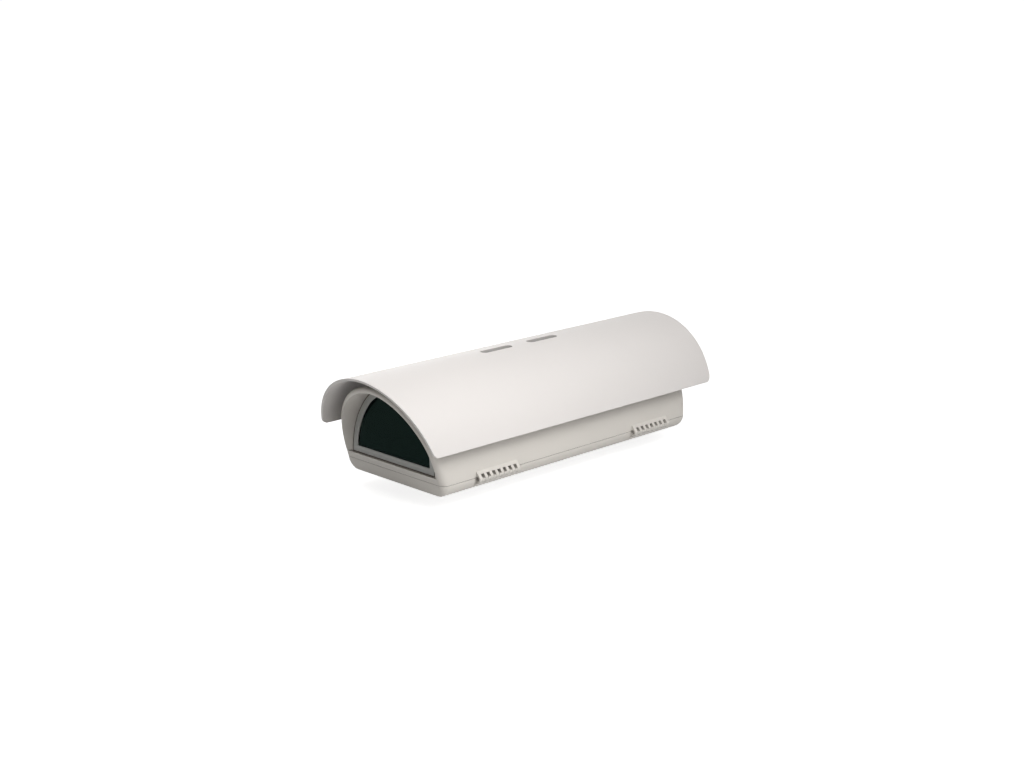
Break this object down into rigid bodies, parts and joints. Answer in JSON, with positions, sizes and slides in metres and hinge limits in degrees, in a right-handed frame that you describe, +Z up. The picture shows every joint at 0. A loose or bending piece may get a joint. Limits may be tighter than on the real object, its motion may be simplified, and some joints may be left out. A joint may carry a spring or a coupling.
{
  "type": "security camera housing",
  "caption": "Outdoor camera housing with a side-hinged arched cover, a raked hood round its window, a sliding sunshield, a camera plate, a heater and cable glands.",
  "frame": {"origin": "on the underside, at the centre of the four bracket inserts", "axes": "+X towards the hinge side, +Y from the window to the rear, +Z up"},
  "size_m": [0.1908, 0.5342, 0.1516],
  "materials": {
    "housing": "fine satin moulding, warm off-white",
    "shield": "fine satin moulding, warm off-white",
    "glass": "polished, dark green",
    "frame": "light grey moulding",
    "gasket": "dark brown-grey seal",
    "steel": "stainless",
    "brass": "turned",
    "plate": "brushed sheet",
    "heater": "extruded, bead blasted",
    "switch": "drawn can",
    "board": "green laminate",
    "terminals": "black moulding",
    "gland": "grey nylon",
    "pad": "cork-rubber pad, black"
  },
  "bodies": {
    "base": {"base_tray": "housing", "body_gasket": "gasket", "bracket_inserts": "brass", "captive_rings": "steel", "plate_lock_screws": "steel", "heater_block": "heater", "heater_screws": "steel", "heat_switch": "switch", "terminal_board": "board", "board_screws": "steel", "terminal_block": "terminals", "earth_screw": "brass", "hinge_pin_front": "steel", "hinge_pin_rear": "steel", "gland_body_1": "gland", "gland_locknut_1": "gland", "gland_seal_1": "gasket", "gland_nut_1": "gland", "gland_body_2": "gland", "gland_locknut_2": "gland", "gland_seal_2": "gasket", "gland_nut_2": "gland", "gland_body_3": "gland", "gland_locknut_3": "gland", "gland_seal_3": "gasket", "gland_nut_3": "gland"},
    "cover": {"cover_shell": "housing", "window_glass": "glass", "window_gasket": "gasket", "window_frame": "frame", "window_screws": "steel", "closing_inserts": "brass", "rail_inserts": "brass", "shield_screws": "steel", "shield_washers": "steel"},
    "sunshield": {"sunshield": "shield"},
    "camera_plate": {"camera_plate": "plate"},
    "camera_seat": {"camera_screw": "steel", "camera_pad": "pad"},
    "closing_screw_1": {"closing_screw_1": "steel"},
    "closing_screw_2": {"closing_screw_2": "steel"},
    "closing_screw_3": {"closing_screw_3": "steel"}
  },
  "joints": [
    {"name": "cover_hinge", "type": "hinge", "parent": "base", "child": "cover", "pos_m": [0.0845, 0, 0.0149], "axis": [0, 1, 0], "range_deg": [0, 100]},
    {"name": "sunshield_slide", "type": "slide", "parent": "cover", "child": "sunshield", "axis": [0, 1, 0], "range_m": [-0.02, 0.02]},
    {"name": "camera_plate_slide", "type": "slide", "parent": "base", "child": "camera_plate", "axis": [0, 1, 0], "range_m": [-0.03, 0.03]},
    {"name": "camera_seat_slide", "type": "slide", "parent": "camera_plate", "child": "camera_seat", "axis": [0, 1, 0], "range_m": [-0.03, 0.03]},
    {"name": "closing_screw_1_drop", "type": "slide", "parent": "base", "child": "closing_screw_1", "axis": [0, 0, -1], "range_m": [0, 0.01]},
    {"name": "closing_screw_2_drop", "type": "slide", "parent": "base", "child": "closing_screw_2", "axis": [0, 0, -1], "range_m": [0, 0.01]},
    {"name": "closing_screw_3_drop", "type": "slide", "parent": "base", "child": "closing_screw_3", "axis": [0, 0, -1], "range_m": [0, 0.01]}
  ]
}
